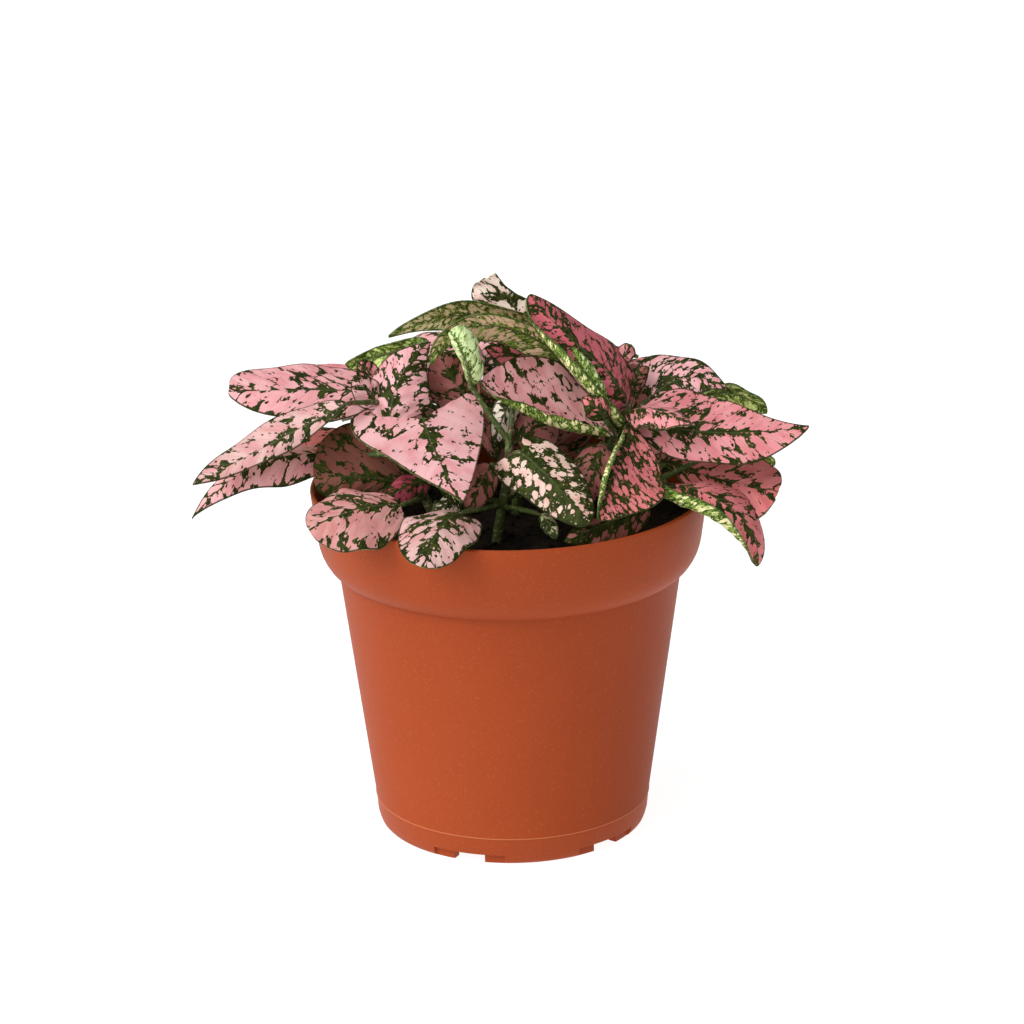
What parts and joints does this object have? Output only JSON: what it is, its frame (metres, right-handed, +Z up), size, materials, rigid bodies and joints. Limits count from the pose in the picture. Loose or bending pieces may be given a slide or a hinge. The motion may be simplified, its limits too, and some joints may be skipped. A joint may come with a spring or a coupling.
{
  "type": "potted polka dot plant",
  "caption": "Polka dot plant with pink, green-speckled leaves on upright leafy stems, growing in soil in a round tapered nursery pot with a rim band and a notched foot ring.",
  "frame": {"origin": "centre of the bounding box's bottom, on the plane the pot stands on; the pot's own axis stands at x 2.5 mm, y -3.0 mm, because the foliage reaches further to the left and back", "axes": "+Z up along the pot's axis, +X to the right and -Y towards the viewer as seen from the picture's side"},
  "size_m": [0.1614, 0.129, 0.1476],
  "materials": {
    "pot_plastic": "satin moulded plastic, terracotta orange",
    "potting_soil": "rough crumbly potting mix, dark brown",
    "foliage": "soft leaf, pink with dark green speckles and midrib"
  },
  "bodies": {
    "root": {"pot": "pot_plastic", "soil": "potting_soil", "leafy_stem_left": "foliage", "leafy_stem_front_left": "foliage", "leafy_stem_front": "foliage", "leafy_stem_top": "foliage", "leafy_stem_right": "foliage", "leafy_stem_low_right": "foliage", "leafy_stem_back_right": "foliage", "leafy_stem_back_left": "foliage", "leafy_stem_back": "foliage"}
  },
  "joints": []
}
